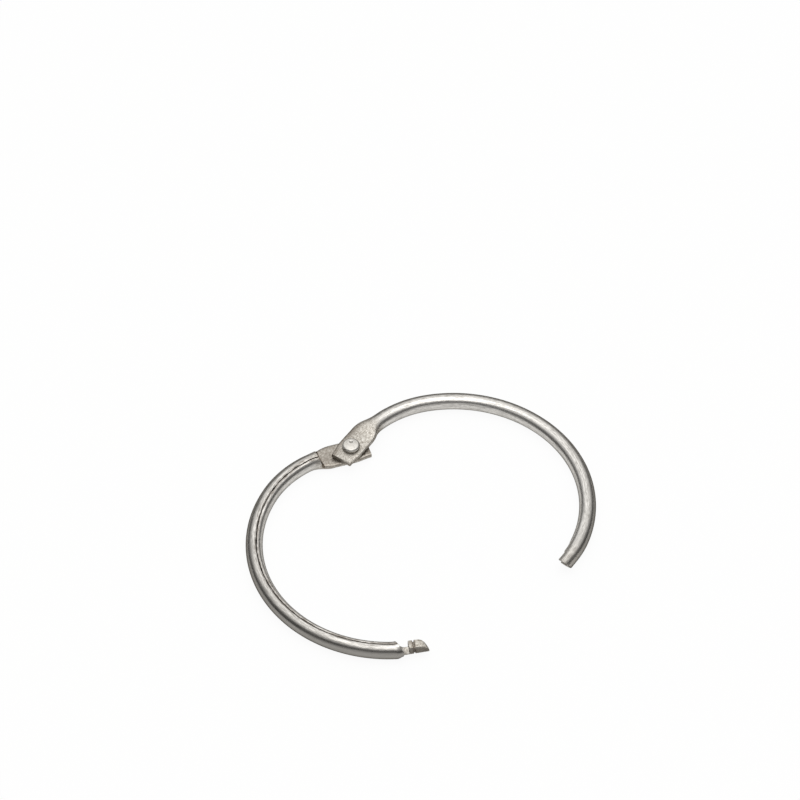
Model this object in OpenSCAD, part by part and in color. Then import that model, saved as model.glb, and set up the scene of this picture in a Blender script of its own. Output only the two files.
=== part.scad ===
// Binder ring: two half rings of rolled steel strip, hinged on a rivet and closed by a hook in a socket.
// The ring lies on its side. The origin is the centre of the hook half's bend, on the surface that the ring
// lies on. +Z is up, the hinge is towards -X and the hook towards +X.

/* [Ring] */
// Inside diameter that each half is bent to
inside_d = 50; // [40:1:76]
// Outside diameter of the rolled tube
tube_d = 3.4; // [3.2:0.1:4]
// Thickness of the steel strip
sheet_t = 0.4; // [0.3:0.05:0.5]
// Gap left open along the rolled seam
seam_gap = 0.2; // [0.1:0.05:0.4]
// Turn of the seam from the ring's inner side towards the lug's mating face
seam_turn = 72; // [60:1:90]
// Angle that the ring stands open
open_angle = 43; // [5:1:120]
// How much the hook half falls short of half a ring
hook_trim = 0.4; // [0:0.1:1]
// How much the socket half reaches past half a ring
socket_extra = 1.4; // [0:0.1:2]

/* [Hinge] */
// How far the rivet lies inside the centreline of the bend
hinge_inset = 1.8; // [1.2:0.1:2.4]
// Angle before the rivet at which the bend tightens
bend_start = 45; // [40:1:55]
// Width of the flattened lug
lug_w = 5.4; // [4.8:0.1:5.8]
// Width of the lug at its cut end
lug_end_w = 4.5; // [3.4:0.1:4.7]
// Distance from the rivet to the lug's cut end
lug_end = 3.7; // [3:0.1:4.4]
// Distance from the rivet to the step where the tube begins
lug_root = 7.1; // [6.2:0.1:8.5]
// Thickness of the flattened lug
lug_t = 1.1; // [0.9:0.05:1.1]
// Length over which the lug spreads to its full width
lug_flare = 5.2; // [4:0.1:6]
// Length over which the lug thins behind the step
lug_ramp = 3.6; // [2.5:0.1:4.5]
// Running gap between the two lugs
lug_gap = 0.06; // [0.04:0.01:0.12]

/* [Rivet] */
// Diameter of the shank
rivet_d = 2; // [1.6:0.1:2.4]
// Diameter of the upper head
head_d = 3.6; // [3:0.1:4.2]
// Height of the upper head
head_h = 1; // [0.7:0.05:1.3]
// Edge radius of the upper head
head_edge = 0.45; // [0.2:0.05:0.6]
// Diameter of the dimple in the upper head
dimple_d = 1; // [0.6:0.1:1.4]
// Depth of the dimple in the upper head
dimple_depth = 0.2; // [0.1:0.05:0.35]
// Diameter of the peened lower head
tail_d = 3.2; // [2.8:0.1:3.8]
// Height of the peened lower head
tail_h = 0.5; // [0.35:0.05:0.6]
// Edge radius of the peened lower head
tail_edge = 0.4; // [0.2:0.05:0.4]
// Radial clearance of the shank in the lug that turns on it
running_gap = 0.05; // [0.02:0.01:0.09]
// Radial clearance of the shank in the lug that it is peened to
seat_gap = 0.02; // [0.01:0.01:0.04]

/* [Clasp] */
// Smallest gap between the hook's shoulder and the socket's mouth when closed
clasp_gap = 0.2; // [0.1:0.1:1]
// Slant of the shoulder, longer on the outer side
shoulder_slant = 28; // [0:1:32]
// Slant of the socket's mouth, longer on the lug's side
mouth_slant = 25; // [0:1:30]
// Length of the notch between the shoulder and the barb, along the axis
notch_len = 1.9; // [1.6:0.1:2.6]
// Length of the barb with its wedge tip
barb_len = 3.9; // [3.2:0.1:4.4]
// Length of the flat top of the barb
crest_len = 2.4; // [1.6:0.1:2.6]
// Length of the steep end of the wedge
nose_len = 0.6; // [0.4:0.1:1]
// How far the wedge falls before its steep end
nose_drop = 0.45; // [0.2:0.05:0.7]
// Diameter of the swaged tongue
tongue_d = 2.2; // [1.6:0.1:2.3]
// Height of the barb's crest above the tube's axis
barb_h = 1.55; // [1.2:0.05:1.7]
// Thickness of the barb's crest
crest_t = 1.4; // [0.8:0.1:1.5]
// Bevel along the barb's crest
crest_edge = 0.15; // [0.05:0.05:0.3]
// Distance of the groove across the barb from the barb's back
groove_at = 0.9; // [0.6:0.1:1.2]
// Width of the groove across the barb
groove_w = 0.3; // [0.2:0.05:0.4]
// Depth of the groove across the barb
groove_depth = 0.35; // [0.2:0.05:0.5]
// Clearance of the barb's crest in the slot, each side
crest_gap = 0.25; // [0.15:0.05:0.4]
// Length of the two lips at the socket's mouth
lip_len = 2.2; // [1.6:0.1:2.6]
// How far the lips are pressed in
lip_step = 0.2; // [0.1:0.05:0.3]
// Length of the window behind the lips
window_len = 3; // [2.4:0.1:4]
// Width of the window behind the lips
window_w = 2.8; // [2.2:0.1:2.9]
// How far the outer side of the mouth is pressed in
mouth_pinch = 0.2; // [0.1:0.05:0.3]

/* [Hidden] */
$fn = 72;

// Steel-grey shades of the nickel plate
TUBE_COLOR = "#b9b7b1";
RIVET_COLOR = "#c9c7c1";

// Tube and bend
tube_r = tube_d / 2;
bore_r = tube_r - sheet_t;
bend_r = inside_d / 2 + tube_r;
hinge_r = bend_r - hinge_inset;
// Near the hinge the bend tightens, so that it meets the straight lug without a kink
tight_r = (hinge_r - bend_r * cos(bend_start)) / (1 - cos(bend_start));
tight_centre = (bend_r - tight_r) * [-cos(bend_start), -sin(bend_start)];
lug_straight = -tight_centre[1];

// Lug
lug_face = lug_gap / 2;
// The lug starts to spread this far before the step
flare_lead = 2.2;
// A lofted end starts this far inside the tube that it grows from, and this much below its surface
embed = 2.6;
skin = 0.03;
// Exponents of the lug's section: round at the tube, flat with soft edges at the rivet
ROUND = 2;
FLAT = 7;

// Clasp
tongue_r = tongue_d / 2;
tongue_len = notch_len + barb_len;
shoulder_angle = (tongue_len + hook_trim) / bend_r * 180 / PI;
// The tongue hugs the outer side of the bore, clear of the pressed mouth
tongue_drop = bore_r - mouth_pinch - tongue_r;
// Flats of the neck and of the barb's round body, from the tongue's axis towards the ring's centre
neck_top = 0;
barb_top = 0.36;
// Height of the blunt point and length of its bevel
point_h = tongue_r / 2;
// The tongue is rooted this deep in the closed end of the tube
plug_len = 1.5;
slot_w = crest_t + 2 * crest_gap;
window_end = lip_len + window_len;
// Length over which the pressed mouth blends into the round tube behind the window
mouth_blend = 0.8;
mouth_len = window_end + mouth_blend;
shoulder_reach = tube_r * tan(shoulder_slant);
mouth_reach = tube_r * tan(mouth_slant);
// Length over which a sheared edge steps from one width to the next
shear = 0.06;

// Turn of the socket half about the rivet that closes the ring, from both bends having one centre
mouth_at = socket_extra / bend_r * 180 / PI;
function from_rivet(angle) = atan2(bend_r * sin(angle), bend_r * cos(angle) + hinge_r);
axis_gap = clasp_gap + norm([shoulder_reach, mouth_reach]);
close_turn = from_rivet(shoulder_angle) - from_rivet(mouth_at) - axis_gap / (bend_r + hinge_r) * 180 / PI;

// Smooth step from 0 at a to 1 at b
function ease(a, b, x) =
    let (t = min(1, max(0, (x - a) / (b - a))))
    t * t * (3 - 2 * t);

// Value between a and b
function mix(a, b, t) = a + (b - a) * t;

// Point on the lug's spine, at a distance along it from the rivet, and its heading
function spine_turn(s) = max(0, -s - lug_straight) / tight_r * 180 / PI;
function spine_point(s) =
    let (turn = spine_turn(s))
    s >= -lug_straight
        ? [-hinge_r, s]
        : tight_centre - tight_r * [cos(turn), sin(turn)];

// Lug: half width, depth below the mating face and section exponent along the spine
function lug_half_w(s) =
    s < 0
        ? mix(tube_r - skin, lug_w / 2, ease(-lug_root - flare_lead, -lug_root - flare_lead + lug_flare, s))
        : mix(lug_w / 2, lug_end_w / 2, ease(0, lug_end, s));
function lug_depth(s) = mix(tube_r - skin - lug_face, lug_t, ease(-lug_root, -lug_root + lug_ramp, s));
function lug_power(s) = mix(ROUND, FLAT, ease(-lug_root, -lug_root + lug_ramp, s));

// One side of a superellipse: sign kept, power applied
function rounded(v, power) = sign(v) * pow(abs(v), 2 / power);

LUG_SIDES = 27;
function lug_section(s) =
    let (
        turn = spine_turn(s),
        inward = [cos(turn), sin(turn)],
        centre = spine_point(s),
        power = lug_power(s)
    )
    [
        for (i = [0 : LUG_SIDES])
            let (
                a = 180 * i / LUG_SIDES,
                at = centre + lug_half_w(s) * rounded(cos(a), power) * inward
            )
            [at[0], at[1], -lug_face - lug_depth(s) * rounded(sin(a), power)]
    ];

LUG_STATIONS = 26;
function lug_station(i) = mix(-lug_root - embed, lug_end, i / LUG_STATIONS);

// Socket's mouth: opening half angle, inner and outer reach of its section, by distance from the mouth
function gap_angle(w) = asin(w / 2 / tube_r);
function mouth_gap(s) =
    s > window_end
        ? asin((seam_gap / 2 + skin) / bore_r)
        : gap_angle(s > lip_len ? window_w : slot_w);
function mouth_inner(s) = tube_r - (s > lip_len ? skin : lip_step);
function mouth_outer(s) = tube_r - skin - mouth_pinch * ease(mouth_len, 0, s);

MOUTH_SIDES = 30;
// One rim of the mouth's section, as points around the bend's centre
function mouth_rim(s, wall) =
    [
        for (i = [0 : MOUTH_SIDES])
            let (
                gap = mouth_gap(s),
                a = mix(gap, 360 - gap, i / MOUTH_SIDES),
                reach = cos(a) > 0 ? mouth_inner(s) : mouth_outer(s),
                radius = bend_r - (reach - wall) * cos(a),
                height = (tube_r - skin - wall) * sin(a),
                lag = mouth_reach * height / tube_r * max(0, 1 - s / mouth_len),
                turn = (socket_extra - s - lag) / bend_r * 180 / PI
            )
            [radius * cos(turn), radius * sin(turn), height]
    ];
function reversed(points) = [for (i = [len(points) - 1 : -1 : 0]) points[i]];
function mouth_section(s) = concat(mouth_rim(s, 0), reversed(mouth_rim(s, sheet_t - 2 * skin)));

MOUTH_STATIONS = concat(
    [mouth_len + embed, mouth_len, window_end + shear],
    [for (i = [0 : 4]) mix(window_end, lip_len + shear, i / 4)],
    [for (i = [0 : 3]) mix(lip_len, 0, i / 3)]
);

// Solid skinned over a row of sections that have equal, even numbers of points. Each end is capped by strips
// that join its first point to its last, so that a section may be an open band.
module loft(sections) {
    count = len(sections[0]);
    last = len(sections) - 1;
    points = [for (section = sections) each section];
    sides = [
        for (j = [0 : last - 1], i = [0 : count - 1])
            let (
                a = j * count + i,
                b = j * count + (i + 1) % count
            )
            each [[a, b + count, b], [a, a + count, b + count]]
    ];
    caps = [
        for (i = [0 : count / 2 - 2])
            let (strip = [i, i + 1, count - 2 - i, count - 1 - i])
            each [strip, [for (k = [3 : -1 : 0]) last * count + strip[k]]]
    ];
    polyhedron(points, concat(sides, caps), convexity = 6);
}

// Section of the rolled tube, open at the seam
module rolled_section() {
    difference() {
        circle(tube_r);
        circle(bore_r);
        rotate([0, 0, -seam_turn])
            translate([-tube_r - sheet_t, -seam_gap / 2])
                square([tube_r + sheet_t, seam_gap]);
    }
}

// Solid section that fills the bore and ends inside the wall
module plug_section() {
    circle(bore_r + sheet_t / 2);
}

// A section swept around the main bend, from one angle to another
module sweep(from, to) {
    rotate([0, 0, from])
        rotate_extrude(angle = to - from)
            translate([bend_r, 0])
                children();
}

// A section swept around the tighter bend at the hinge, up to the straight part of the lug
module tight_sweep(from_turn) {
    translate([tight_centre[0], tight_centre[1], 0])
        rotate([0, 0, 180])
            rotate_extrude(angle = from_turn)
                translate([tight_r, 0])
                    children();
}

// Half ring with its lug below the middle plane and its other end cut at end_angle
module half_ring(end_angle, hole_gap) {
    plug_turn = (lug_root + embed + plug_len - lug_straight) / tight_r * 180 / PI;
    difference() {
        union() {
            sweep(180 + bend_start, 360 + end_angle) rolled_section();
            difference() {
                union() {
                    tight_sweep(bend_start) rolled_section();
                    tight_sweep(plug_turn) plug_section();
                }
                translate([-hinge_r, 0, -tube_d])
                    cylinder(r = lug_root, h = 2 * tube_d);
            }
            loft([for (i = [0 : LUG_STATIONS]) lug_section(lug_station(i))]);
        }
        translate([-hinge_r, 0, -tube_d])
            cylinder(d = rivet_d + 2 * hole_gap, h = 2 * tube_d);
    }
}

// Swaged tongue with its barb, along +X from the shoulder, the ring's centre towards +Y
module tongue() {
    translate([0, -tongue_drop, 0]) {
        rotate([90, 0, 90])
            translate([0, 0, -shoulder_reach - plug_len / 2])
                linear_extrude(shoulder_reach + plug_len / 2 + notch_len + groove_at / 2)
                    intersection() {
                        circle(tongue_r);
                        translate([-tube_d, -tube_d])
                            square([tube_d + neck_top, 2 * tube_d]);
                    }
        intersection() {
            translate([notch_len, 0, 0])
                rotate([90, 0, 90])
                    linear_extrude(barb_len)
                        barb_section();
            translate([0, 0, -tube_d])
                linear_extrude(2 * tube_d)
                    barb_profile();
        }
    }
}

// Barb seen along the tongue: a round body cut flat, with the crest standing on it
module barb_section() {
    crest_top = barb_h + tongue_drop;
    intersection() {
        circle(tongue_r);
        translate([-tube_d, -tube_d])
            square([tube_d + barb_top, 2 * tube_d]);
    }
    for (side = [-1, 1])
        polygon([
            [0, 0],
            [0, side * crest_t / 2],
            [crest_top - crest_edge, side * crest_t / 2],
            [crest_top, side * (crest_t / 2 - crest_edge)],
            [crest_top, 0]
        ]);
}

// Barb seen from above: upright back, flat top with a groove, long slope to a point at the outer side
module barb_profile() {
    crest_top = barb_h + tongue_drop;
    difference() {
        polygon([
            [notch_len, -tongue_r],
            [notch_len, crest_top],
            [notch_len + crest_len, crest_top],
            [tongue_len - nose_len, crest_top - nose_drop],
            [tongue_len, point_h - tongue_r],
            [tongue_len - point_h, -tongue_r]
        ]);
        translate([notch_len + groove_at, crest_top - groove_depth])
            square([groove_w, tube_d]);
    }
}

// The tube's end is closed a little behind the shoulder, and the shoulder is cut on the slant
module hook_half() {
    reach_angle = shoulder_reach / bend_r * 180 / PI;
    plug_angle = plug_len / bend_r * 180 / PI;
    tongue_turn = tongue_len / bend_r * 90 / PI;
    color(TUBE_COLOR)
        translate([0, 0, tube_r]) {
            difference() {
                union() {
                    half_ring(reach_angle - shoulder_angle, seat_gap);
                    sweep(-shoulder_angle - 2 * reach_angle - plug_angle, -shoulder_angle - reach_angle)
                        plug_section();
                }
                rotate([0, 0, -shoulder_angle])
                    translate([bend_r, 0, 0])
                        rotate([0, 0, shoulder_slant])
                            translate([-tube_d, 0, -tube_d])
                                cube(2 * tube_d);
            }
            rotate([0, 0, -shoulder_angle])
                translate([bend_r, 0, 0])
                    rotate([0, 0, 90 + tongue_turn])
                        tongue();
        }
}

module socket_half() {
    mouth_angle = mouth_len / bend_r * 180 / PI;
    color(TUBE_COLOR)
        translate([-hinge_r, 0, tube_r])
            rotate([0, 0, open_angle - close_turn])
                translate([hinge_r, 0, 0])
                    rotate([180, 0, 0]) {
                        half_ring(mouth_at - mouth_angle, running_gap);
                        loft([for (s = MOUTH_STATIONS) mouth_section(s)]);
                    }
}

module hinge_rivet() {
    stack = lug_face + lug_t;
    head_r = head_d / 2;
    tail_r = tail_d / 2;
    dimple_r = (dimple_d * dimple_d / 4 + dimple_depth * dimple_depth) / (2 * dimple_depth);
    color(RIVET_COLOR)
        translate([-hinge_r, 0, tube_r])
            difference() {
                union() {
                    translate([0, 0, -stack - tail_h / 2])
                        cylinder(d = rivet_d, h = 2 * stack + tail_h / 2 + head_h / 2);
                    translate([0, 0, stack + lug_gap])
                        rotate_extrude()
                            rounded_head(head_r, head_h, head_edge);
                    translate([0, 0, -stack])
                        mirror([0, 0, 1])
                            rotate_extrude()
                                rounded_head(tail_r, tail_h, min(tail_edge, tail_h));
                }
                translate([0, 0, stack + lug_gap + head_h + dimple_r - dimple_depth])
                    sphere(dimple_r);
            }
}

// Half profile of a flat head with a rounded edge
module rounded_head(radius, height, edge) {
    square([radius - edge, height]);
    square([radius, height - edge]);
    intersection() {
        translate([radius - edge, height - edge])
            circle(edge);
        square([radius, height]);
    }
}

hook_half();
socket_half();
hinge_rivet();
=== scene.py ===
# %% [markdown]
# # An open binder ring
#
# A binder ring is two half rings of rolled steel strip. One end of each half is pressed flat to a lug, and
# a rivet through both lugs is the hinge. The other ends are a hook and the socket that it snaps into. This
# lesson dresses the plain solids of such a ring: it keeps their places and sizes, and adds the seam, the
# burrs, the pressed lugs and the plating that make the real thing look like steel.

import math

import bmesh
import bpy
from mathutils import Matrix, Vector, noise


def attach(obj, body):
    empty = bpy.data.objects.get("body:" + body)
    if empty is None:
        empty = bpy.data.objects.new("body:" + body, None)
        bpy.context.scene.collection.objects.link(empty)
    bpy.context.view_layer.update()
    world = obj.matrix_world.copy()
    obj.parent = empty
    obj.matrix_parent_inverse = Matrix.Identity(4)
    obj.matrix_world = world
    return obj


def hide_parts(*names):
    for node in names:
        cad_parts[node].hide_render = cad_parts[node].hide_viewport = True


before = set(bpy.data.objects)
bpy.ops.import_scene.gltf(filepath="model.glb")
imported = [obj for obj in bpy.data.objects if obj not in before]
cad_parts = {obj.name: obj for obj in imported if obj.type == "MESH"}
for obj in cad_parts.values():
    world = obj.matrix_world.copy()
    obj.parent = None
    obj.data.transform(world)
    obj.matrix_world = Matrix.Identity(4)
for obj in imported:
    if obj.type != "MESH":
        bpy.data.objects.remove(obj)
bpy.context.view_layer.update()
print("nodes:", sorted(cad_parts))

# %% [markdown]
# ## The sizes
#
# Everything is worked out in millimetres, in the frame of one flat blank: the bend's centre is the origin,
# the tube's axis lies at height zero, and the lug is at the left with its mating face up. Both halves are
# the same blank, so the socket half is that blank turned over and swung open about the rivet.

# %% Sizes of the ring, in millimetres
MM = 0.001
AXIS_H = 1.7
TUBE_R = 1.695
SHEET_T = 0.4
SHEET_PLAY = 0.02
BEND_R = 26.7
HINGE_R = 24.9
BEND_START = math.radians(45)
OPEN_ANGLE = 43
TIGHT_R = (HINGE_R - BEND_R * math.cos(BEND_START)) / (1 - math.cos(BEND_START))
TIGHT_CENTRE = Vector((-math.cos(BEND_START), -math.sin(BEND_START), 0)) * (BEND_R - TIGHT_R)
RIVET_AT = Vector((-HINGE_R, 0, 0))
LUG_STRAIGHT = -TIGHT_CENTRE.y
print("tight bend radius:", round(TIGHT_R, 2), "mm")


def ease(a, b, x):
    """Smooth step from 0 at a to 1 at b."""
    t = min(1.0, max(0.0, (x - a) / (b - a)))
    return t * t * (3 - 2 * t)


def mix(a, b, t):
    """From a at 0 to b at 1."""
    return a + (b - a) * t


# %% [markdown]
# ## Colour and nodes
#
# Colours are written as the sRGB hex values that a colour picker gives, but the renderer works in linear
# light. One function does that conversion for every finish. A second one adds a shader node with its
# settings and links, so that a material reads as a list of what feeds what.


# %% Two small helpers for materials
def linear(hex_colour):
    """sRGB hex to linear RGBA."""
    srgb = [int(hex_colour[i : i + 2], 16) / 255 for i in (1, 3, 5)]
    return (*(c / 12.92 if c <= 0.04045 else ((c + 0.055) / 1.055) ** 2.4 for c in srgb), 1.0)


def add_node(tree, kind, settings, inputs):
    """One node: settings are its own choices, inputs are values or sockets that feed it."""
    made = tree.nodes.new(kind)
    for name, value in settings.items():
        setattr(made, name, value)
    for key, value in inputs.items():
        if isinstance(value, bpy.types.NodeSocket):
            tree.links.new(value, made.inputs[key])
        else:
            made.inputs[key].default_value = value
    return made


PAPER = "#F4F4F2"
print("white paper in linear light:", [round(c, 2) for c in linear(PAPER)[:3]])

# %% [markdown]
# ## Rolling the tube
#
# The real tube is a flat strip rolled until its edges almost meet, which leaves a hairline seam. So the
# mesh starts as a circle with one edge taken out, and spins around the bend's centre. A full torus would
# have no seam and no open ends. Every vertex keeps two marks: how far round the tube it lies from the inner
# side, and how far along the tube. Two more say where the press crushed the plate and how much shade is
# painted into the plate's colour. The later steps and the plating read them.

# %% Profile, spin and ring helpers
TUBE_SIDES = 60
SEAM = math.radians(72)
SEAM_HALF = math.pi / TUBE_SIDES
SEAM_REACH = 1.5 * SEAM_HALF
EDGE_TUCK = {0: 0.12, 1: 0.03}
WELD = 0.002
# The last mark says how much shade is painted into the plate's colour
MARKS = ("along", "around", "pressed", "painted_shade")


def from_seam(around):
    """Angle from the seam, between minus and plus half a turn."""
    return (around - SEAM + math.pi) % (2 * math.pi) - math.pi


def new_blank():
    """An empty bmesh with the marks that its vertices carry."""
    bm = bmesh.new()
    marks = {name: bm.verts.layers.float.new(name) for name in MARKS}
    return bm, marks


def tube_profile(bm, marks):
    """The open circle of the rolled strip, where the main bend meets the tighter one."""
    ring = bmesh.ops.create_circle(bm, cap_ends=False, radius=TUBE_R, segments=TUBE_SIDES)["verts"]
    inward = Vector((math.cos(BEND_START), math.sin(BEND_START), 0))
    for i, v in enumerate(ring):
        around = SEAM + SEAM_HALF * (2 * i + 1)
        tuck = EDGE_TUCK.get(min(i, TUBE_SIDES - 1 - i), 0)
        v[marks["around"]] = around
        v.co = inward * ((TUBE_R - tuck) * math.cos(around) - BEND_R)
        v.co.z = (TUBE_R - tuck) * math.sin(around)
    closing = [e for e in bm.edges if ring[0] in e.verts and ring[-1] in e.verts]
    bmesh.ops.delete(bm, geom=closing, context="EDGES")
    return bm.edges[:]


def spin_edges(bm, edges, centre, angle, steps):
    """Sweeps a loop of edges around an upright axis and gives back the loop at the far end."""
    loop = list({v for e in edges for v in e.verts}) + list(edges)
    swept = bmesh.ops.spin(
        bm, geom=loop, cent=centre, axis=(0, 0, 1), dvec=(0, 0, 0), angle=angle, steps=steps,
        use_merge=False, use_normal_flip=False, use_duplicate=False,
    )
    return [e for e in swept["geom_last"] if isinstance(e, bmesh.types.BMEdge)]


def extrude_ring(bm, edges):
    """One more ring on the end of the tube: its new edges and vertices."""
    grown = bmesh.ops.extrude_edge_only(bm, edges=edges)["geom"]
    verts = [g for g in grown if isinstance(g, bmesh.types.BMVert)]
    fresh = set(verts)
    ring = [g for g in grown if isinstance(g, bmesh.types.BMEdge) and set(g.verts) <= fresh]
    return ring, verts


print("tube:", TUBE_SIDES - 1, "sides and a seam of", round(2 * SEAM_HALF * TUBE_R, 2), "mm")

# %% [markdown]
# ## Pressing the lug
#
# A press squeezes the tube's end flat. On the mating face a round punch leaves a crescent step, because the
# two lugs have to turn past each other there; on the other face the tube slopes down smoothly like a spoon.
# Each ring that is extruded from the tube is moved to the section that the press gives it at that distance
# from the rivet. Extruding ring by ring keeps the rows of faces running along the tube, so the plating's
# streaks do too.

# %% The lug's section, station by station
LUG_W = 5.4
LUG_END_W = 4.5
LUG_END = 3.7
LUG_ROOT = 7.1
LUG_FLARE = 5.2
LUG_RAMP = 3.6
LUG_FACE = 0.03
LUG_T = 1.1
LUG_START = -10.2
FLARE_LEAD = 2.2
STEP_TOP = -LUG_ROOT - 0.2
WALL_RUN = 0.55
FLAT_TOP = 9
FLAT_BACK = 7
OUTER_SPOON = 2.3
INNER_SPOON = 4.5
FLATTEN_FROM = -4.5
FLATTEN_TO = 1.5
STEP_FADE = 1.6
CUT_END = 0.05
# Painted shade on the lugs: over the whole mating face, and along the back's outer edge
PAINTED_FACE_SHADE = 0.45
PAINTED_EDGE_SHADE = 0.55
LUG_AT = BEND_R * (math.pi - BEND_START) + TIGHT_R * BEND_START + LUG_STRAIGHT


def spine(s):
    """Point on the lug's centreline at a distance from the rivet, and the way to the ring's inside."""
    turn = max(0.0, -s - LUG_STRAIGHT) / TIGHT_R
    inward = Vector((math.cos(turn), math.sin(turn), 0))
    if s >= -LUG_STRAIGHT:
        return Vector((-HINGE_R, s, 0)), inward
    return TIGHT_CENTRE - TIGHT_R * inward, inward


def lug_half_width(s):
    """The tube flares to the lug, which tapers to its cut end."""
    flare = ease(-LUG_ROOT - FLARE_LEAD, -LUG_ROOT - FLARE_LEAD + LUG_FLARE, s)
    taper = ease(0, LUG_END, s)
    return mix(mix(TUBE_R, LUG_W / 2, flare), LUG_END_W / 2, taper)


def lug_point(around, s):
    """Where the press leaves a point of the tube's wall."""
    c, d = math.cos(around), math.sin(around)
    down = ease(-LUG_ROOT, -LUG_ROOT + LUG_RAMP, s)
    bottom = -mix(TUBE_R, LUG_FACE + LUG_T, down)
    wall = min(1.0, max(0.0, (s - STEP_TOP) / WALL_RUN))
    top = mix(TUBE_R, -LUG_FACE, wall)
    equator = mix(0, (bottom - LUG_FACE) / 2, ease(LUG_START + 0.4, -LUG_ROOT + 1.5, s))
    spoon = mix(2, OUTER_SPOON if c < 0 else INNER_SPOON, down)
    back = mix(spoon, FLAT_BACK, ease(FLATTEN_FROM, FLATTEN_TO, s))
    power = mix(2, FLAT_TOP, ease(0.5, 1, wall)) if d > 0 else back
    reach = (abs(c) ** power + abs(d) ** power) ** (-1 / power)
    p = lug_half_width(s) * reach * c
    z = equator + reach * d * (top - equator if d > 0 else equator - bottom)
    crescent = LUG_ROOT - math.sqrt(LUG_ROOT**2 - min(p * p, TUBE_R * TUBE_R))
    near_step = 1 - ease(0, STEP_FADE, abs(s + LUG_ROOT))
    here, inward = spine(s + crescent * near_step * max(0.0, d) ** 0.25)
    return here + inward * p + Vector((0, 0, z))


def press_lug(bm, marks, ring):
    """Extrudes the tube's end ring by ring to the cut end of the lug."""
    stations = [-9.7, -9.3, -8.9, -8.5, -8.1, -7.8, -7.5]
    stations += [STEP_TOP + WALL_RUN * k / 5 for k in range(6)]
    stations += [mix(-LUG_ROOT + 0.6, -1.4, k / 14) for k in range(15)]
    stations += [mix(-1.2, 1.2, k / 10) for k in range(11)]
    stations += [mix(1.5, LUG_END, k / 6) for k in range(7)]
    stations.append(LUG_END)
    middle = -LUG_FACE - LUG_T / 2
    pressed_verts = []
    for i, s in enumerate(stations):
        ring, verts = extrude_ring(bm, ring)
        squeeze = CUT_END if i == len(stations) - 1 else 1.0
        for v in verts:
            around = v[marks["around"]]
            if s > STEP_TOP and abs(from_seam(around)) < SEAM_REACH:
                around = SEAM
            v.co = lug_point(around, s)
            v.co.z = mix(middle, v.co.z, squeeze)
            v[marks["along"]] = LUG_AT + s
            # Painted shade: the punched step's wall fully dark, the mating face darker for the shade of the
            # other lug, and the back darker along its outer edge from the root on
            on_wall = STEP_TOP + 0.01 < s < STEP_TOP + WALL_RUN + 0.01 and math.sin(around) > 0.1
            on_face = s > STEP_TOP + WALL_RUN and math.sin(around) > 0.1
            rolled = ease(0.3, 0.75, -math.cos(around)) * ease(-LUG_ROOT, -LUG_ROOT + 2, s)
            back_shade = PAINTED_EDGE_SHADE * rolled if math.sin(around) < 0 else 0.0
            v[marks["painted_shade"]] = 1.0 if on_wall else PAINTED_FACE_SHADE if on_face else back_shade
            v[marks["pressed"]] = ease(LUG_START, -LUG_ROOT + 0.6, s)
        pressed_verts += verts
    bmesh.ops.remove_doubles(bm, verts=pressed_verts, dist=WELD)


def punch_hole(bm, radius):
    """Takes out the faces around the rivet in both layers, and rounds what is left to the hole."""
    inside = [f for f in bm.faces if (f.calc_center_median() - RIVET_AT).xy.length < radius]
    bmesh.ops.delete(bm, geom=inside, context="FACES")
    near = [v for v in bm.verts if (v.co - RIVET_AT).xy.length < 2 * radius]
    for v in near:
        if any(e.is_boundary for e in v.link_edges):
            out = (v.co - RIVET_AT).xy.normalized() * radius
            v.co.xy = RIVET_AT.xy + out


print("lug:", LUG_W, "mm wide and", LUG_T, "mm thick, its step", round(TUBE_R + LUG_FACE, 2), "mm deep")

# %% [markdown]
# ## One half of the ring
#
# The blank is swept both ways from the place where the main bend meets the tighter one: one way along the
# main bend to the free end, the other way to the lug. The distance along the tube is then read back from
# the angle. The seam wanders a little, because no roller holds the strip's edges quite straight. Handling
# rounds the sharp corners, so they get a narrow bevel, all but the edge of the punched step, which nothing
# rubs.

# %% Sweep of the two bends
TIGHT_TURN = (-LUG_START - LUG_STRAIGHT) / TIGHT_R
MAIN_STEPS = 150
TIGHT_STEPS = 24
WANDER = 0.09
WANDER_PER_MM = 0.7
SEAM_STEP = 0.03
FINE_WELD = 0.0015
SHARP = math.radians(32)
STEP_CLEAR = 0.4
WORN = 0.05
WORN_ANGLES = (math.radians(38), math.radians(125))


def bent_tube(bm, marks, free_angle):
    """The tube from free_angle on the main bend to the start of the lug: its two open ends."""
    profile = tube_profile(bm, marks)
    main = math.pi - BEND_START + free_angle
    free_end = spin_edges(bm, profile, (0, 0, 0), main, MAIN_STEPS)
    lug_end = spin_edges(bm, profile, TIGHT_CENTRE, -(BEND_START - TIGHT_TURN), TIGHT_STEPS)
    for v in bm.verts:
        angle = math.atan2(v.co.y, v.co.x)
        if math.pi + angle > BEND_START - 1e-4 and angle <= 0.2:
            v[marks["along"]] = -BEND_R * angle
        else:
            off = v.co - TIGHT_CENTRE
            v[marks["along"]] = LUG_AT - LUG_STRAIGHT - TIGHT_R * (math.pi + math.atan2(off.y, off.x))
    ends = {v for e in free_end + lug_end for v in e.verts}
    for v in bm.verts:
        side = from_seam(v[marks["around"]])
        if v not in ends and abs(side) < SEAM_REACH:
            wander = noise.noise((v[marks["along"]] * WANDER_PER_MM, 0, math.copysign(3, side)))
            radial = Vector((v.co.x, v.co.y, 0)).normalized()
            v.co += radial * (WANDER * wander - math.copysign(SEAM_STEP, side))
    return free_end, lug_end


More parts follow.
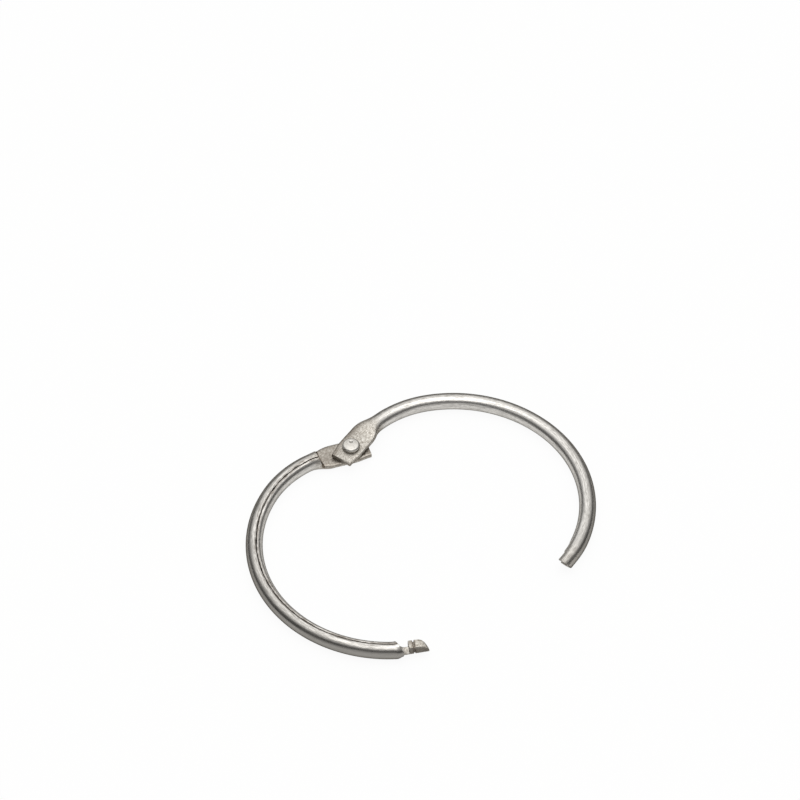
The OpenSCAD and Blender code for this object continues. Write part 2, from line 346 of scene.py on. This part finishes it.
def finish_blank(bm, name, placing):
    """Merges doubles, marks the sharp edges and makes the blank an object in metres."""
    bmesh.ops.remove_doubles(bm, verts=bm.verts[:], dist=FINE_WELD)
    bmesh.ops.transform(bm, matrix=placing, verts=bm.verts[:])
    bmesh.ops.scale(bm, vec=(MM, MM, MM), verts=bm.verts[:])
    for f in bm.faces:
        f.smooth = True
    weight = bm.edges.layers.float.new("bevel_weight_edge")
    along = bm.verts.layers.float["along"]
    for e in bm.edges:
        angle = e.calc_face_angle(0)
        e.smooth = angle < SHARP
        at_step = any(abs(v[along] - LUG_AT - STEP_TOP) < STEP_CLEAR for v in e.verts)
        corner = WORN_ANGLES[0] < angle < WORN_ANGLES[1]
        if corner and e.calc_length() > WORN * MM and not at_step:
            e[weight] = 1.0
    mesh = bpy.data.meshes.new(name)
    bm.to_mesh(mesh)
    bm.free()
    made = bpy.data.objects.new(name, mesh)
    bpy.context.scene.collection.objects.link(made)
    rounding = made.modifiers.new("worn edges", "BEVEL")
    rounding.width = WORN * MM
    rounding.segments = 2
    rounding.limit_method = "WEIGHT"
    rounding.use_clamp_overlap = False
    rounding.harden_normals = True
    print(name, len(mesh.vertices), "vertices,", len(mesh.polygons), "faces")
    return made


print("half ring:", round(LUG_AT, 1), "mm along the tube from the clasp to the rivet")

# %% [markdown]
# ## The hook
#
# The hook is the tube's own end, cut on a slant and swaged down to a tongue with a notch and a barb. Its
# outline is a few points, and each extrusion of the end face moves those points to the next station: the
# slope behind the notch, the notch, the upright back of the barb, a groove across it and the pointed wedge
# at the tip.

# %% Stations of the tongue
NOTCH_LEN = 1.9
BARB_LEN = 3.9
SHOULDER_SLANT = math.radians(28)
TONGUE_LEN = NOTCH_LEN + BARB_LEN
HOOK_TRIM = 0.4
SHOULDER_TURN = (TONGUE_LEN + HOOK_TRIM) / BEND_R
SHOULDER_REACH = AXIS_H * math.tan(SHOULDER_SLANT)
GROOVE_AT = 1.03
# Painted shade on the barb: on its outer flank and in a band around its groove
PAINTED_FLANK_SHADE = 0.45
PAINTED_GROOVE_SHADE = 0.7

# Sections as (towards the ring's inside, up), from the inner side over the top and back underneath
ROOT = [
    (1.05, 0), (0.95, 0.50), (0.75, 0.77), (0.45, 0.97), (0, 1.08),
    (-0.50, 0.95), (-0.90, 0.58), (-1.08, 0), (-0.90, -0.58), (-0.50, -0.95),
    (0, -1.08), (0.45, -0.97), (0.75, -0.77), (0.95, -0.50),
]
NECK = [
    (0.36, -0.05), (0.34, 0.22), (0.28, 0.36), (0.14, 0.40), (-0.30, 0.22),
    (-0.76, -0.01), (-1.04, -0.18), (-1.09, -0.32), (-1.00, -0.48), (-0.78, -0.76),
    (-0.40, -0.88), (0.05, -0.80), (0.28, -0.60), (0.36, -0.35),
]
BARB = [
    (1.55, 0), (1.55, 0.50), (1.45, 0.62), (0.90, 0.65), (0.30, 0.64),
    (-0.30, 0.58), (-0.75, 0.18), (-1.10, -0.12), (-0.97, -0.48), (-0.72, -0.82),
    (-0.20, -0.88), (0.60, -0.62), (1.45, -0.54), (1.55, -0.44),
]
GROOVE = [
    (1.22, 0), (1.22, 0.40), (1.15, 0.48), (0.75, 0.50), (0.25, 0.48),
    (-0.26, 0.43), (-0.62, 0.12), (-0.90, -0.12), (-0.80, -0.38), (-0.60, -0.66),
    (-0.17, -0.72), (0.50, -0.60), (1.15, -0.50), (1.22, -0.40),
]
POINT = [
    (-0.80, -0.20), (-0.82, -0.12), (-0.85, -0.08), (-0.90, -0.06), (-0.95, -0.07),
    (-1.00, -0.10), (-1.04, -0.18), (-1.05, -0.28), (-1.03, -0.36), (-0.98, -0.40),
    (-0.93, -0.40), (-0.87, -0.36), (-0.83, -0.30), (-0.81, -0.25),
]
# Distance from the shoulder, the two sections it lies between and how far from the first to the second
HOOK_STATIONS = [
    (-2.40, ROOT, ROOT, 0),
    (-1.00, ROOT, ROOT, 0),
    (-0.35, ROOT, NECK, 0.05),
    (0.25, ROOT, NECK, 0.45),
    (0.75, ROOT, NECK, 0.90),
    (1.10, NECK, NECK, 0),
    (NOTCH_LEN - 0.06, NECK, NECK, 0),
    (NOTCH_LEN, NECK, BARB, 0.10),
    (NOTCH_LEN + 0.05, NECK, BARB, 0.92),
    (NOTCH_LEN + 0.14, BARB, BARB, 0),
    (NOTCH_LEN + 0.84, BARB, BARB, 0),
    (NOTCH_LEN + 0.92, BARB, GROOVE, 1),
    (NOTCH_LEN + 1.14, BARB, GROOVE, 1),
    (NOTCH_LEN + 1.24, BARB, BARB, 0),
    (NOTCH_LEN + 1.70, BARB, BARB, 0),
    (NOTCH_LEN + 2.20, BARB, POINT, 0.01),
    (NOTCH_LEN + 2.70, BARB, POINT, 0.10),
    (NOTCH_LEN + 3.15, BARB, POINT, 0.27),
    (NOTCH_LEN + 3.50, BARB, POINT, 0.53),
    (NOTCH_LEN + 3.75, BARB, POINT, 0.80),
    (TONGUE_LEN - 0.01, POINT, POINT, 0),
]
print("tongue:", round(TONGUE_LEN, 1), "mm long in", len(HOOK_STATIONS), "stations")

# %% [markdown]
# ## The hook half
#
# A die squeezes the end of the tube around the tongue, so the cut end is drawn in on its outer side and a
# burr stands up on its inner side. The tube is cut on a slant, drawn in and given the strip's thickness
# first, and the tongue comes last, because it is solid steel and needs no thickness.

# %% Hook half
HOOK_HOLE_R = 1.02
DRAWN_LEN = 1.0
DRAWN_IN = 0.24
BURR_LEN = 0.35
BURR = 0.06
DIAGONAL = 1.414


def hook_tongue(bm, marks):
    """The swaged tongue, skinned by extruding one end face through the stations."""
    place = (
        Matrix.Rotation(-SHOULDER_TURN, 4, "Z")
        @ Matrix.Translation((BEND_R, 0, 0))
        @ Matrix.Rotation(math.pi / 2 + TONGUE_LEN / BEND_R / 2, 4, "Z")
    )

    def outline(station):
        x, one, other, t = station
        return [place @ Vector((x, mix(a[0], b[0], t), mix(a[1], b[1], t))) for a, b in zip(one, other)]

    root = [bm.verts.new(co) for co in outline(HOOK_STATIONS[0])]
    cap = bm.faces.new(root)
    made = set(root)
    for station in HOOK_STATIONS[1:]:
        behind = cap
        grown = bmesh.ops.extrude_face_region(bm, geom=[behind])
        cap = next(g for g in grown["geom"] if isinstance(g, bmesh.types.BMFace))
        if station is not HOOK_STATIONS[1]:
            bmesh.ops.delete(bm, geom=[behind], context="FACES_ONLY")
        for v, spot in zip(cap.verts, outline(station)):
            v.co = spot
            made.add(v)
    for v in made:
        v[marks["pressed"]] = 1.0
        v[marks["along"]] = -BEND_R * math.atan2(v.co.y, v.co.x)
        v[marks["around"]] = SEAM + math.pi + math.atan2(v.co.z, BEND_R - v.co.xy.length) / 2
        # Painted shade on the barb's outer flank and in its groove
        back = HOOK_TRIM + BARB_LEN - v[marks["along"]]
        if back > 0:
            flank = ease(0.35, 0.7, v.co.xy.length - BEND_R)
            groove = 1 - ease(0.2, 0.45, abs(back - GROOVE_AT))
            v[marks["painted_shade"]] = max(PAINTED_FLANK_SHADE * flank, PAINTED_GROOVE_SHADE * groove)
    return made


def swage_shoulder(v, behind):
    """Draws the outer side of the tube's end in towards the tongue, and raises a burr on its inner side."""
    axis = Vector((v.co.x, v.co.y, 0)).normalized() * BEND_R
    out = v.co - axis
    outward = out.dot(axis.normalized())
    outer = ease(-0.2, 0.7, outward / TUBE_R)
    near = ease(-DRAWN_LEN, 0, behind)
    burr = ease(-BURR_LEN, 0, behind) * ease(0.5, 0.8, (out.z - outward) / TUBE_R / DIAGONAL)
    v.co = axis + out * (1 - DRAWN_IN * outer * near + BURR * burr)


def make_hook_half():
    """Tube, lug, slanted cut and tongue, in the ring's place."""
    bm, marks = new_blank()
    lug_end = bent_tube(bm, marks, SHOULDER_REACH / BEND_R - SHOULDER_TURN)[1]
    press_lug(bm, marks, lug_end)
    punch_hole(bm, HOOK_HOLE_R)
    cut_at = Vector((math.cos(SHOULDER_TURN), -math.sin(SHOULDER_TURN), 0)) * BEND_R
    along = Vector((math.sin(SHOULDER_TURN), math.cos(SHOULDER_TURN), 0))
    cut_no = Matrix.Rotation(SHOULDER_SLANT, 3, "Z") @ along
    faces = [f for f in bm.faces if all(v.co.x > 0 for v in f.verts)]
    edges = list({e for f in faces for e in f.edges})
    verts = list({v for f in faces for v in f.verts})
    bmesh.ops.bisect_plane(
        bm, geom=verts + edges + faces, dist=1e-4, plane_co=cut_at, plane_no=cut_no,
        clear_outer=True, clear_inner=False,
    )
    for v in bm.verts:
        if v.co.x > BEND_R / 2 and v.co.y > -BEND_R / 2:
            swage_shoulder(v, (v.co - cut_at).dot(cut_no))
    bmesh.ops.recalc_face_normals(bm, faces=bm.faces[:])
    bmesh.ops.solidify(bm, geom=bm.faces[:], thickness=SHEET_T - SHEET_PLAY)
    tongue = hook_tongue(bm, marks)
    bmesh.ops.recalc_face_normals(bm, faces=list({f for v in tongue for f in v.link_faces}))
    return finish_blank(bm, "hook_half_steel", Matrix.Translation((0, 0, AXIS_H)))


hook_half = make_hook_half()

# %% [markdown]
# ## The socket
#
# The other free end stays a tube. Its mouth is pressed in a little, a slot between two lips lets the barb
# pass, and a window behind the lips takes it up. Rings are extruded to the mouth's stations first, then the
# faces of the slot and the window are taken out, which leaves clean edges for the strip's thickness.

# %% Socket half
LIP_LEN = 2.2
LIP_STEP = 0.2
WINDOW_END = LIP_LEN + 3.0
MOUTH_LEN = WINDOW_END + 0.8
MOUTH_PINCH = 0.2
MOUTH_SLANT = math.radians(25)
MOUTH_REACH = AXIS_H * math.tan(MOUTH_SLANT)
MOUTH_DULL = 0.4
SLOT_W = 1.9
SLOT_HALF = math.asin(SLOT_W / 2 / TUBE_R)
WINDOW_W = 2.8
WINDOW_HALF = math.asin(WINDOW_W / 2 / TUBE_R)
SOCKET_HOLE_R = 1.05
CLASP_GAP = 0.2
SOCKET_EXTRA = 1.4


def mouth_point(around, s):
    """A point of the pressed mouth at a distance s from its end."""
    c, d = math.cos(around), math.sin(around)
    inner = TUBE_R - LIP_STEP * (1 - ease(LIP_LEN, LIP_LEN + 0.05, s))
    outer = TUBE_R - MOUTH_PINCH * ease(MOUTH_LEN, 0, s)
    radius = BEND_R - (inner if c > 0 else outer) * c
    lag = MOUTH_REACH * d * max(0.0, 1 - s / MOUTH_LEN)
    turn = (SOCKET_EXTRA - s - lag) / BEND_R
    return Vector((radius * math.cos(turn), radius * math.sin(turn), TUBE_R * d))


def press_mouth(bm, marks, ring):
    """Extrudes the free end to the mouth, and takes out the slot and the window."""
    stations = [MOUTH_LEN - 0.4, WINDOW_END + 0.05, WINDOW_END]
    stations += [mix(WINDOW_END, LIP_LEN + 0.06, k / 6) for k in range(1, 7)]
    stations += [mix(LIP_LEN, 0, k / 7) for k in range(8)]
    opening = []
    for s in stations:
        before = set(bm.faces)
        ring, verts = extrude_ring(bm, ring)
        for v in verts:
            around = v[marks["around"]]
            v.co = mouth_point(SEAM if abs(from_seam(around)) < SEAM_REACH else around, s)
            v[marks["along"]] = s
            v[marks["pressed"]] = MOUTH_DULL * ease(MOUTH_LEN, LIP_LEN, s)
        if s < WINDOW_END - 1e-6:
            half = SLOT_HALF if s <= LIP_LEN else WINDOW_HALF
            for f in set(bm.faces) - before:
                turns = [(v[marks["around"]] + math.pi) % (2 * math.pi) - math.pi for v in f.verts]
                if -SLOT_HALF < sum(turns) / len(turns) < half:
                    opening.append(f)
    bmesh.ops.delete(bm, geom=opening, context="FACES")
    bmesh.ops.remove_doubles(bm, verts=[v for v in bm.verts if v.co.x > 0], dist=WELD)


def close_turn():
    """How far past one shared centre the socket half turns to close the ring."""
    shoulder, mouth = [
        math.atan2(BEND_R * math.sin(turn), BEND_R * math.cos(turn) + HINGE_R)
        for turn in (SHOULDER_TURN, SOCKET_EXTRA / BEND_R)
    ]
    gap = CLASP_GAP + math.hypot(SHOULDER_REACH, MOUTH_REACH)
    return shoulder - mouth - gap / (BEND_R + HINGE_R)


def make_socket_half():
    """Tube, lug and mouth, turned over and swung open about the rivet."""
    bm, marks = new_blank()
    free_end, lug_end = bent_tube(bm, marks, (SOCKET_EXTRA - MOUTH_LEN) / BEND_R)
    press_lug(bm, marks, lug_end)
    punch_hole(bm, SOCKET_HOLE_R)
    press_mouth(bm, marks, free_end)
    bmesh.ops.recalc_face_normals(bm, faces=bm.faces[:])
    bmesh.ops.solidify(bm, geom=bm.faces[:], thickness=SHEET_T - SHEET_PLAY)
    swing = math.radians(OPEN_ANGLE) - close_turn()
    placing = (
        Matrix.Translation((-HINGE_R, 0, AXIS_H))
        @ Matrix.Rotation(swing, 4, "Z")
        @ Matrix.Translation((HINGE_R, 0, 0))
        @ Matrix.Rotation(math.pi, 4, "X")
    )
    return finish_blank(bm, "socket_half_steel", placing)


socket_half = make_socket_half()

# %% [markdown]
# ## The rivet
#
# The rivet is turned, so half of its outline spun about its own axis makes it in one go. The punch that set
# it left a small dimple off the centre of the upper head.

# %% Rivet
RIVET_R = 1.0
HEAD_R = 1.8
HEAD_H = 0.995
TAIL_R = 1.6
TAIL_H = 0.5
TAIL_FLAT = 0.6
TAIL_ROUND = 0.4
HEAD_EDGE = 0.5
HEAD_CROWN = 0.14
HEAD_LIP = 0.05
HEAD_PLAY = 0.06
STACK = LUG_FACE + LUG_T
HEAD_UNDER = STACK + HEAD_PLAY
DIMPLE_AT = Vector((-0.55, 0.18))
DIMPLE_R = 0.46
DIMPLE_DEPTH = 0.28


def make_rivet():
    """Half the outline from the tail's middle to the head's, spun full circle, and the dimple."""
    bm, marks = new_blank()
    low = -STACK - TAIL_H
    outline = [(0.0, low), (TAIL_FLAT, low)]
    for k in range(7):
        t = math.pi / 2 * k / 6
        r = TAIL_R - TAIL_ROUND + TAIL_ROUND * math.sin(t)
        outline.append((r, low + TAIL_ROUND - TAIL_ROUND * math.cos(t)))
    outline += [(TAIL_R, -STACK), (RIVET_R, -STACK), (RIVET_R, HEAD_UNDER), (HEAD_R - HEAD_LIP, HEAD_UNDER)]
    top = HEAD_UNDER + HEAD_H
    flat = HEAD_R - HEAD_EDGE
    for k in range(9):
        t = math.pi / 2 * k / 8
        r = flat + HEAD_EDGE * math.cos(t)
        outline.append((r, top - HEAD_CROWN - HEAD_EDGE + HEAD_EDGE * math.sin(t)))
    for k in range(1, 13):
        r = flat * (1 - k / 12)
        outline.append((r, top - HEAD_CROWN * (r / flat) ** 2))
    verts = [bm.verts.new((r, 0, z)) for r, z in outline]
    edges = [bm.edges.new(pair) for pair in zip(verts, verts[1:])]
    bmesh.ops.spin(
        bm, geom=verts + edges, cent=(0, 0, 0), axis=(0, 0, 1), dvec=(0, 0, 0), angle=2 * math.pi,
        steps=72, use_merge=True, use_normal_flip=False, use_duplicate=False,
    )
    bmesh.ops.remove_doubles(bm, verts=bm.verts[:], dist=1e-4)
    for v in bm.verts:
        v[marks["around"]] = SEAM + math.pi
        v[marks["pressed"]] = 1.0
        off = (v.co.xy - DIMPLE_AT).length
        if v.co.z > HEAD_UNDER + HEAD_H / 2 and off < DIMPLE_R:
            v.co.z -= DIMPLE_DEPTH * (1 - ease(0, DIMPLE_R, off))
    bmesh.ops.recalc_face_normals(bm, faces=bm.faces[:])
    return finish_blank(bm, "hinge_rivet_steel", Matrix.Translation((-HINGE_R, 0, AXIS_H)))


rivet = make_rivet()

# %% [markdown]
# ## Nickel plate: colours and node helpers
#
# The ring is mild steel with a thin, satin nickel plate: a metal, slightly warm, brighter than bare steel.
# The finished halves hang in a plating bath, so the plate shows every mark that rolling and pressing left
# on the steel. The colours go from clean plate to a dark brown, which marks the seam and is painted on as
# shade.

# %% Colours and roughness of the plate
NICKEL = "#DAD7D2"
NICKEL_STREAK = "#918E89"
# Painted dark reflection on the tube's outer side
PAINTED_DARK_REFLECTION = "#8A8782"
NICKEL_SHEEN = "#D3CFC7"
NICKEL_PRESSED = "#776F64"
RIVET_SHEEN = "#C8C5BF"
RIVET_WORN = "#B1ADA5"
PIT = "#5E5A54"
# Dark brown of the seam, and of the painted shade
DARK_SEAM_AND_SHADE = "#6B6156"
EDGE = "#777571"
TUBE_ROUGH = 0.25
LUG_ROUGH = 0.40
RIVET_ROUGH = 0.34


def mix_colour(tree, share, one, other):
    made = add_node(tree, "ShaderNodeMix", {"data_type": "RGBA"}, {0: share, 6: one, 7: other})
    return made.outputs[2]


def mix_value(tree, share, one, other):
    made = add_node(tree, "ShaderNodeMix", {"data_type": "FLOAT"}, {0: share, 2: one, 3: other})
    return made.outputs[0]


def remap(tree, value, low, high, to_low, to_high):
    made = add_node(
        tree, "ShaderNodeMapRange", {},
        {"Value": value, "From Min": low, "From Max": high, "To Min": to_low, "To Max": to_high},
    )
    return made.outputs[0]


def maths(tree, operation, *values):
    made = add_node(tree, "ShaderNodeMath", {"operation": operation}, dict(enumerate(values)))
    return made.outputs[0]


print("clean plate in linear light:", [round(c, 2) for c in linear(NICKEL)[:3]])

# %% [markdown]
# ## The drawn strip
#
# The strip was drawn and rolled before it was plated, so fine lines run along the tube. The two vertex
# marks unroll the tube to a flat strip, and noise that is stretched on that strip gives lines of a real
# length and width. The outer side of the tube is painted darker than the inner side, a painted dark
# reflection whose edge the lines make ragged.

# %% Lines along the tube
LINE = (5.0, 0.2)
SCRATCH = (1.0, 0.12)


def strip_noise(tree, strip, size, detail, roughness):
    """Noise drawn out along the tube, in spots of a length and a width in millimetres."""
    length, width = size
    scaled = add_node(
        tree, "ShaderNodeMapping", {}, {"Vector": strip, "Scale": (1 / length, TUBE_R / width, 1)}
    )
    made = add_node(
        tree, "ShaderNodeTexNoise", {},
        {"Vector": scaled.outputs[0], "Scale": 1.0, "Detail": detail, "Roughness": roughness},
    )
    return made.outputs["Fac"]


def drawn_plate(tree, around, grained, bright):
    """Colour of the plate on the tube, with a painted dark reflection along its outer side."""
    streak = remap(tree, grained, 0.42, 0.68, 0.0, 1.0)
    drawn = mix_colour(tree, streak, linear(bright), linear(NICKEL_STREAK))
    side = maths(tree, "COSINE", around)
    # Painted dark reflection: the outer side of the tube is painted darker, with an edge that the lines
    # make ragged
    ragged = maths(tree, "MULTIPLY_ADD", grained, -2.4, side)
    dark_reflection = remap(tree, ragged, -0.85, -1.85, 0.0, 0.88)
    return mix_colour(tree, dark_reflection, drawn, linear(PAINTED_DARK_REFLECTION))


print("drawing lines:", LINE, "mm, scratches between them:", SCRATCH, "mm")

# %% [markdown]
# ## The crushed plate and the seam
#
# The press crushed the plate on the lugs, which are duller, mottled and pitted. The strip's sheared edges
# took little plate, so the seam is darker, and its dark line is uneven because the shear tore the edge.

# %% Mottling, pits and seam
MOTTLE = 0.45
PIT_SIZE = 0.22
RELIEF = 0.03


def spot_noise(tree, place, size, detail, roughness):
    """Noise in even spots of a size in millimetres."""
    made = add_node(
        tree, "ShaderNodeTexNoise", {},
        {"Vector": place, "Scale": 1 / (size * MM), "Detail": detail, "Roughness": roughness},
    )
    return made.outputs["Fac"]


def crushed_plate(tree, place, brushed, sheen, tone):
    """Colour of the plate where the press crushed it."""
    worn = remap(tree, brushed, 0.38, 0.64, 0.0, 1.0)
    crushed = mix_colour(tree, worn, linear(sheen), linear(tone))
    pit = remap(tree, spot_noise(tree, place, PIT_SIZE, 2.0, 0.5), 0.60, 0.74, 0.0, 0.55)
    return mix_colour(tree, pit, crushed, linear(PIT))


def seam_and_painted_shade(tree, around, grained, painted_shade):
    """How dark the seam's line is, and how much shade is painted on from the vertex mark."""
    from_back = maths(tree, "SUBTRACT", around, SEAM + math.pi)
    far = maths(tree, "ABSOLUTE", from_back)
    uneven = maths(tree, "MULTIPLY_ADD", grained, 1.6, far)
    seam = remap(tree, uneven, math.pi + 0.45, math.pi + 0.80, 0.0, 0.75)
    return maths(tree, "MAXIMUM", seam, painted_shade)


print("mottling:", MOTTLE, "mm, pits:", PIT_SIZE, "mm")

# %% [markdown]
# ## The finished metal
#
# Tube and lug are one sheet of steel, so they share one material that reads the pressed mark, and the
# change from drawn to crushed plate is gradual. The same noise that colours the plate also roughens it and
# lifts it by hundredths of a millimetre, as a real scratch does all three at once. The rivet was tumbled
# and set later, so it gets a paler and more even plate.


# %% Nickel-plated steel
def nickel_plate(name, bright, sheen, crushed_tone, tube_rough, pressed_rough):
    """Drawn plate on the tube, crushed plate where the pressed mark is, the dark seam and painted shade
    over both.
    """
    material = bpy.data.materials.new(name)
    material.use_nodes = True
    tree = material.node_tree
    tree.nodes.clear()
    along, around, pressed, painted_shade = [
        add_node(tree, "ShaderNodeAttribute", {"attribute_name": mark}, {}).outputs["Fac"]
        for mark in MARKS
    ]
    place = add_node(tree, "ShaderNodeTexCoord", {}, {}).outputs["Object"]
    strip = add_node(tree, "ShaderNodeCombineXYZ", {}, {"X": along, "Y": around}).outputs[0]
    lines = strip_noise(tree, strip, LINE, 4.0, 0.65)
    grain = strip_noise(tree, strip, SCRATCH, 2.0, 0.5)
    grained = mix_value(tree, 0.45, lines, grain)
    mottle = spot_noise(tree, place, MOTTLE, 6.0, 0.75)
    brushed = mix_value(tree, 0.35, mottle, grain)
    plate = mix_colour(
        tree, pressed,
        drawn_plate(tree, around, grained, bright),
        crushed_plate(tree, place, brushed, sheen, crushed_tone),
    )
    # Over the plate: the seam's dark line and the painted shade
    colour = mix_colour(tree, seam_and_painted_shade(tree, around, grained, painted_shade), plate, linear(DARK_SEAM_AND_SHADE))
    rough = mix_value(
        tree, pressed,
        remap(tree, lines, 0.3, 0.7, tube_rough - 0.06, tube_rough + 0.12),
        remap(tree, mottle, 0.3, 0.7, pressed_rough - 0.1, pressed_rough + 0.12),
    )
    relief = mix_value(tree, pressed, grained, mottle)
    bump = add_node(
        tree, "ShaderNodeBump", {}, {"Strength": 0.5, "Distance": RELIEF * MM, "Height": relief}
    )
    metal = add_node(
        tree, "ShaderNodeBsdfPrincipled", {},
        {"Base Color": colour, "Metallic": 1.0, "Roughness": rough, "Specular Tint": linear(EDGE),
         "Normal": bump.outputs[0]},
    )
    out = add_node(tree, "ShaderNodeOutputMaterial", {}, {})
    tree.links.new(metal.outputs[0], out.inputs[0])
    return material


# Gives the eye soft bright and dark bands, broken by fine lines along the tube, and dull mottled lugs
tube_nickel = nickel_plate(
    "satin nickel plate on rolled steel strip", NICKEL, NICKEL_SHEEN, NICKEL_PRESSED,
    TUBE_ROUGH, LUG_ROUGH,
)
# Gives the eye a paler, evenly satin disc that stands out from the dull lugs
rivet_nickel = nickel_plate(
    "tumbled nickel plate on a steel rivet", NICKEL, RIVET_SHEEN, RIVET_WORN,
    RIVET_ROUGH, RIVET_ROUGH,
)
for piece, material in ((hook_half, tube_nickel), (socket_half, tube_nickel), (rivet, rivet_nickel)):
    piece.data.materials.append(material)
    print(piece.name, "wears", material.name)

# %% [markdown]
# ## Riding on the frame
#
# Each dressed piece stands for one solid and moves with that solid's body, so the hinge still turns. The
# rivet is peened tight in the lower lug, so it moves with the hook half, and the upper lug turns on it. The
# slots name the two finishes, so that either can be changed without touching the shapes.

# %% Ride, replace and slots
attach(hook_half, "hook_side")
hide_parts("hook_half")
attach(socket_half, "socket_side")
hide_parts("socket_half")
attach(rivet, "hook_side")
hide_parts("hinge_rivet")
print("on the frame:", [made.name for made in (hook_half, socket_half, rivet)])

# %% [markdown]
# ## Camera
#
# A long lens from about 0.7 m, half above the ring, keeps the circle an even ellipse. The camera is placed
# in a frame whose Y axis points away from the viewer, and then turned with the ring.

# %% Camera
VIEW_TURN = math.radians(72.1)
ELEVATION = math.radians(49.5)
DISTANCE = 705.25
LOOK_AT = Vector((-2.297, -38.63, 0))
LENS_PX = 3413
FRAME_PX = 800


def to_ring(point):
    """From the viewer's frame to the ring's, in metres."""
    return Matrix.Rotation(VIEW_TURN, 4, "Z") @ (point - LOOK_AT) * MM


camera = bpy.data.cameras.new("camera")
camera.sensor_width = 36
camera.lens = LENS_PX / FRAME_PX * camera.sensor_width
camera_object = bpy.data.objects.new("camera", camera)
camera_object.location = to_ring(Vector((0, -math.cos(ELEVATION), math.sin(ELEVATION))) * DISTANCE)
camera_object.rotation_euler = (math.pi / 2 - ELEVATION, 0, VIEW_TURN)
bpy.context.scene.collection.objects.link(camera_object)
bpy.context.scene.camera = camera_object
print("camera at", [round(c, 3) for c in camera_object.location])

# %% [markdown]
# ## Floor
#
# The ring lies on a sweep of white paper, as small goods do in a studio. The sheet is lit from behind in
# part, so its white stays white around the ring, and the metal mirrors it along the underside of the tube.
# What is left of the plain matt paper takes the soft shadow.

# %% Floor
WHITE = "#FFFFFF"
FLOOR_HALF = 2.0
CAMERA_GLOW = 0.93
MIRROR_GLOW = 0.85
floor_mesh = bmesh.new()
bmesh.ops.create_grid(floor_mesh, x_segments=1, y_segments=1, size=FLOOR_HALF)
floor_data = bpy.data.meshes.new("floor")
floor_mesh.to_mesh(floor_data)
floor_mesh.free()
floor = bpy.data.objects.new("floor", floor_data)
bpy.context.scene.collection.objects.link(floor)
# Gives the eye an even white without a horizon, and the faint shadow that sets the ring down on it
paper = bpy.data.materials.new("white paper sweep")
paper.use_nodes = True
tree = paper.node_tree
tree.nodes.clear()
sheet_out = add_node(tree, "ShaderNodeOutputMaterial", {}, {})
path = add_node(tree, "ShaderNodeLightPath", {}, {})
mirrored = maths(tree, "MAXIMUM", path.outputs["Is Glossy Ray"], path.outputs["Is Transmission Ray"])
part = maths(tree, "MULTIPLY", mirrored, MIRROR_GLOW)
share = maths(tree, "MULTIPLY_ADD", path.outputs["Is Camera Ray"], CAMERA_GLOW, part)
matt = add_node(tree, "ShaderNodeBsdfDiffuse", {}, {"Color": linear(PAPER)})
glow = add_node(tree, "ShaderNodeEmission", {}, {"Color": linear(WHITE), "Strength": 1.0})
blend = add_node(tree, "ShaderNodeMixShader", {}, {0: share, 1: matt.outputs[0], 2: glow.outputs[0]})
tree.links.new(blend.outputs[0], sheet_out.inputs[0])
floor_data.materials.append(paper)
print("floor:", [round(side, 2) for side in floor.dimensions[:2]], "m of", paper.name)

# %% [markdown]
# ## Light
#
# Shiny metal shows its surroundings more than its colour. A studio hangs a bright cloth over the table and
# keeps the sides of the room dark, so that bright and dark bands run along the tube and tell the eye that
# it is round. Here two soft gradients in the world stand for the cloth and for a pale wall, and one softbox
# hangs overhead.

# %% World and lamps
LAMP_SIZE = 0.6
LAMP_POWER = 1.2
CEILING = {"From Min": 0.36, "From Max": 1.06, "To Min": 0.12, "To Max": 1.54}
WALL = {"From Min": 0.1, "From Max": 0.75, "To Min": 0.0, "To Max": 0.7}
away = Vector((-math.sin(VIEW_TURN), math.cos(VIEW_TURN), 0))


def soft_band(tree, sky, towards, band):
    """A glow of the room that grows softly in one direction."""
    lean = add_node(tree, "ShaderNodeVectorMath", {"operation": "DOT_PRODUCT"}, {0: sky, 1: towards})
    made = add_node(
        tree, "ShaderNodeMapRange", {"interpolation_type": "SMOOTHSTEP"},
        {"Value": lean.outputs["Value"], **band},
    )
    return made.outputs[0]


world = bpy.data.worlds.new("studio")
bpy.context.scene.world = world
world.use_nodes = True
tree = world.node_tree
tree.nodes.clear()
world_out = add_node(tree, "ShaderNodeOutputWorld", {}, {})
path = add_node(tree, "ShaderNodeLightPath", {}, {})
seen = maths(tree, "MAXIMUM", path.outputs["Is Camera Ray"], path.outputs["Is Transmission Ray"])
sky = add_node(tree, "ShaderNodeTexCoord", {}, {}).outputs["Generated"]
# A bright ceiling that leans away from the viewer
ceiling = soft_band(tree, sky, away * 0.35 + Vector((0, 0, 1)), CEILING)
# A paler wall low down on the viewer's side
wall = soft_band(tree, sky, away * -1 - Vector((0, 0, 1.2)), WALL)
room = maths(tree, "ADD", ceiling, wall)
level = mix_value(tree, seen, room, 1.0)
backdrop = add_node(tree, "ShaderNodeBackground", {}, {"Color": linear(WHITE), "Strength": level})
tree.links.new(backdrop.outputs[0], world_out.inputs[0])

lamp = bpy.data.lights.new("overhead softbox", "AREA")
lamp.shape = "SQUARE"
lamp.size = LAMP_SIZE
lamp.energy = LAMP_POWER
lamp_object = bpy.data.objects.new("overhead softbox", lamp)
lamp_object.location = (0.05, 0.05, 0.8)
bpy.context.scene.collection.objects.link(lamp_object)

bpy.context.scene.view_settings.view_transform = "Standard"
print("lamp:", lamp.name, round(lamp.energy, 2), "W,", round(lamp.size, 2), "m square")
